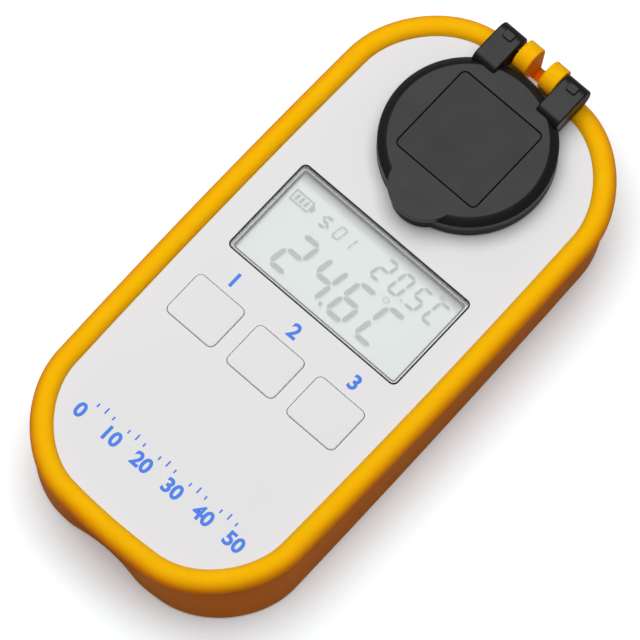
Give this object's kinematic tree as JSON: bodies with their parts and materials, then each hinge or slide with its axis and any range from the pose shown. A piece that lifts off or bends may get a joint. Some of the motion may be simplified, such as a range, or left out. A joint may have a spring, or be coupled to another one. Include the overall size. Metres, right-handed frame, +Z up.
{
  "type": "digital refractometer",
  "caption": "Pocket refractometer with a rounded body, a hinged lid over the sample well, keys and a display window.",
  "frame": {"origin": "middle of the bounding box, on the surface that the underside lies on", "axes": "+Z up out of the front face, +Y along the body towards the lid's hinge, +X to the right of the display"},
  "size_m": [0.058, 0.1182, 0.025],
  "materials": {
    "yellow_plastic": "satin moulded",
    "white_plastic": "satin moulded",
    "black_plastic": "satin moulded",
    "lid_inlay": "satin film",
    "black_rubber": "matt",
    "steel": "plain",
    "dish_steel": "turned",
    "prism_glass": "polished",
    "dark_plastic": "matt moulded",
    "lamp_lens": "clear amber",
    "circuit_board": "lacquered",
    "flat_cable": "film",
    "brass": "plain",
    "clear_window": "clear gloss",
    "display_glass": "gloss",
    "holder_plastic": "moulded",
    "connector_rubber": "matt",
    "cell_sleeve": "film sleeve",
    "contact_metal": "plated"
  },
  "bodies": {
    "base": {"front_panel": "white_plastic", "bumper_frame": "yellow_plastic", "rear_shell": "yellow_plastic", "sample_dish": "dish_steel", "prism": "prism_glass", "prism_ring": "black_rubber", "optical_block": "dark_plastic", "lamp": "lamp_lens", "line_sensor": "dark_plastic", "sensor_board": "circuit_board", "ribbon_cable": "flat_cable", "temperature_probe": "brass", "block_screw_1": "steel", "block_screw_2": "steel", "display_window": "clear_window", "display_glass": "display_glass", "display_holder": "holder_plastic", "display_connector_near": "connector_rubber", "display_connector_far": "connector_rubber", "main_board": "circuit_board", "controller_chip": "dark_plastic", "board_screw_1": "steel", "board_screw_2": "steel", "board_screw_3": "steel", "board_screw_4": "steel", "left_switch": "dark_plastic", "middle_switch": "dark_plastic", "right_switch": "dark_plastic", "battery_cell": "cell_sleeve", "contact_plus": "contact_metal", "contact_minus": "contact_metal", "battery_door": "yellow_plastic", "door_screw": "steel", "case_screw_1": "steel", "case_screw_2": "steel", "case_screw_3": "steel", "case_screw_4": "steel"},
    "lid_body": {"lid": "black_plastic", "lid_inlay": "lid_inlay", "lid_seal": "black_rubber", "hinge_pin_left": "steel", "hinge_pin_right": "steel"},
    "left_key_body": {"left_key": "white_plastic"},
    "middle_key_body": {"middle_key": "white_plastic"},
    "right_key_body": {"right_key": "white_plastic"}
  },
  "joints": [
    {"name": "lid_hinge", "type": "hinge", "parent": "base", "child": "lid_body", "pos_m": [0, 0.05625, 0.0221], "axis": [-1, 0, 0], "range_deg": [0, 180]},
    {"name": "left_key_press", "type": "slide", "parent": "base", "child": "left_key_body", "axis": [0, 0, -1], "range_m": [0, 0.0005], "stiffness_N_per_m": 2000},
    {"name": "middle_key_press", "type": "slide", "parent": "base", "child": "middle_key_body", "axis": [0, 0, -1], "range_m": [0, 0.0005], "stiffness_N_per_m": 2000},
    {"name": "right_key_press", "type": "slide", "parent": "base", "child": "right_key_body", "axis": [0, 0, -1], "range_m": [0, 0.0005], "stiffness_N_per_m": 2000}
  ]
}
